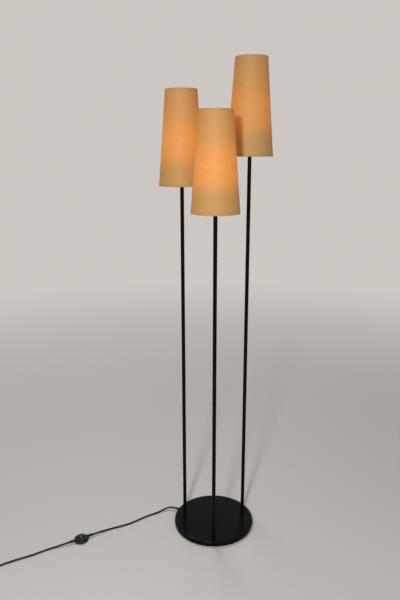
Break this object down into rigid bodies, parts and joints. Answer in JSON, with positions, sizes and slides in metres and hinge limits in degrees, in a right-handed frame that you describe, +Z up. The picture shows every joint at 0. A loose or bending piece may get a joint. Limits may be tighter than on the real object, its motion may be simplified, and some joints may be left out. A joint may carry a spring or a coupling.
{
  "type": "floor lamp",
  "caption": "Free-standing floor lamp: straight stems of different heights on a round weighted base, each with a tall tapered shade; foot switch on a coiled mains lead.",
  "frame": {"origin": "centre of the base's felt where it stands on the floor", "axes": "+Z up along the stems, the lamp faces -Y with its middle stem in front"},
  "size_m": [1.0666, 0.4473, 1.6255],
  "materials": {
    "black_lacquer": "semi-gloss",
    "cast_iron": "rough",
    "zinc_plate": "satin",
    "felt": "matte",
    "black_rubber": "matte",
    "cord_sheath": "satin",
    "inner_lead": "satin",
    "black_plastic": "satin",
    "white_plastic": "satin",
    "switch_gloss": "gloss",
    "plug_plastic": "satin",
    "plug_pin": "satin",
    "bulb_glass": "frosted",
    "bulb_cap": "satin",
    "shade_cloth": "matte",
    "shade_frame": "satin"
  },
  "bodies": {
    "lamp": {"base_cover": "black_lacquer", "base_plate": "zinc_plate", "base_weight": "cast_iron", "clamp_screws": "zinc_plate", "cord_bushing": "black_rubber", "cord_clamp": "black_plastic", "cord_coil": "cord_sheath", "cord_in_base": "cord_sheath", "cord_to_coil": "cord_sheath", "cord_to_plug": "cord_sheath", "cord_to_switch": "cord_sheath", "felt_pad": "felt", "foot_nipples": "zinc_plate", "foot_nuts": "zinc_plate", "foot_washers": "zinc_plate", "left_bulb": "bulb_glass", "left_bulb_cap": "bulb_cap", "left_holder_cap": "black_plastic", "left_holder_insert": "white_plastic", "left_holder_ring": "black_plastic", "left_holder_skirt": "black_plastic", "left_lead": "inner_lead", "left_stem": "black_lacquer", "left_top_nipple": "zinc_plate", "middle_bulb": "bulb_glass", "middle_bulb_cap": "bulb_cap", "middle_holder_cap": "black_plastic", "middle_holder_insert": "white_plastic", "middle_holder_ring": "black_plastic", "middle_holder_skirt": "black_plastic", "middle_lead": "inner_lead", "middle_stem": "black_lacquer", "middle_top_nipple": "zinc_plate", "plate_screws": "zinc_plate", "plug_body": "plug_plastic", "plug_pins": "plug_pin", "plug_relief": "black_rubber", "right_bulb": "bulb_glass", "right_bulb_cap": "bulb_cap", "right_holder_cap": "black_plastic", "right_holder_insert": "white_plastic", "right_holder_ring": "black_plastic", "right_holder_skirt": "black_plastic", "right_lead": "inner_lead", "right_stem": "black_lacquer", "right_top_nipple": "zinc_plate", "switch_contacts": "white_plastic", "switch_housing": "switch_gloss", "switch_sole": "black_plastic", "terminal_block": "white_plastic"},
    "switch_button": {"switch_button": "switch_gloss"},
    "left_shade": {"left_shade": "shade_cloth", "left_shade_hoops": "shade_frame", "left_fitter": "shade_frame"},
    "middle_shade": {"middle_shade": "shade_cloth", "middle_shade_hoops": "shade_frame", "middle_fitter": "shade_frame"},
    "right_shade": {"right_shade": "shade_cloth", "right_shade_hoops": "shade_frame", "right_fitter": "shade_frame"}
  },
  "joints": [
    {"name": "switch_press", "type": "slide", "parent": "lamp", "child": "switch_button", "axis": [0, 0, -1], "range_m": [0, 0.003], "stiffness_N_per_m": 400},
    {"name": "left_shade_turn", "type": "hinge", "parent": "lamp", "child": "left_shade", "pos_m": [-0.11042, 0.06375, 1.3114], "axis": [0, 0, 1], "continuous": true},
    {"name": "middle_shade_turn", "type": "hinge", "parent": "lamp", "child": "middle_shade", "pos_m": [0, -0.117, 1.2404], "axis": [0, 0, 1], "continuous": true},
    {"name": "right_shade_turn", "type": "hinge", "parent": "lamp", "child": "right_shade", "pos_m": [0.11042, 0.06375, 1.4054], "axis": [0, 0, 1], "continuous": true}
  ]
}
